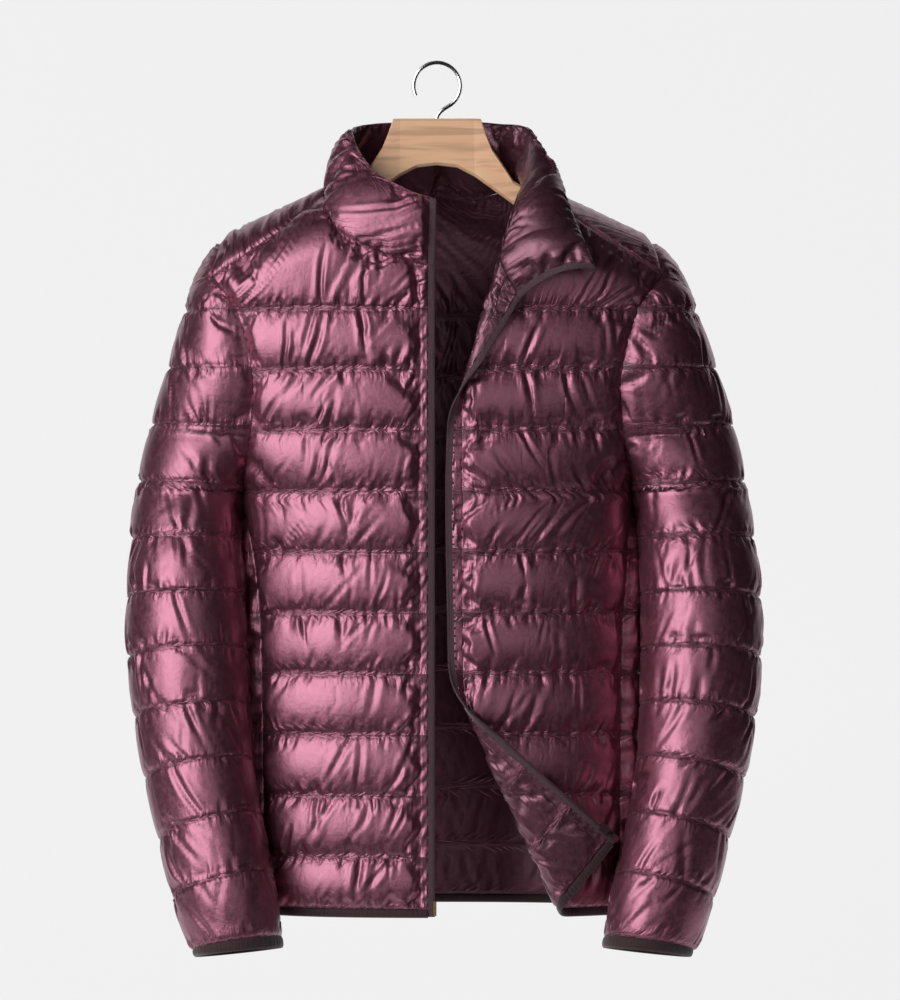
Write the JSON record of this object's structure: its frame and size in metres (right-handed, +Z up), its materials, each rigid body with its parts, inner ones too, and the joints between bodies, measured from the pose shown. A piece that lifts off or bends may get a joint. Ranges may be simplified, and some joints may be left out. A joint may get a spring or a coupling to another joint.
{
  "type": "puffer jacket on a wooden hanger",
  "caption": "Hip-length quilted down jacket with a stand collar, hung open on a wooden hanger: the left collar and lower corner are turned back.",
  "frame": {"origin": "the top of the inside of the hook's bend, where the hook bears on a rail", "axes": "+Z up, -Y to the wearer's front, +X to the wearer's left"},
  "size_m": [0.6158, 0.2558, 0.8735],
  "materials": {
    "quilted_shell": "thin coated nylon with a soft sheen over down",
    "binding": "matt elastic binding",
    "zip_tape": "woven zip tape with nylon teeth",
    "zip_metal": "lacquered zip metal",
    "zip_pin_brass": "plain brass",
    "beech": "lacquered beech",
    "hook_steel": "bright steel wire"
  },
  "bodies": {
    "jacket": {"back_panel": "quilted_shell", "right_front": "quilted_shell", "left_front": "quilted_shell", "right_sleeve": "quilted_shell", "left_sleeve": "quilted_shell", "collar": "quilted_shell", "right_cuff": "binding", "left_cuff": "binding", "hem_binding": "binding", "right_zip_tape": "zip_tape", "left_zip_tape": "zip_tape", "zip_slider": "zip_metal", "zip_retainer": "zip_metal", "zip_pin": "zip_pin_brass", "hanger_body": "beech", "hanger_hook": "hook_steel"},
    "zip_pull": {"zip_pull": "zip_metal"}
  },
  "joints": [
    {"name": "zip_pull_flip", "type": "hinge", "parent": "jacket", "child": "zip_pull", "pos_m": [0.15869, -0.11301, -0.74201], "axis": [0.6599, 0.0262, 0.7509], "range_deg": [0, 140]}
  ]
}
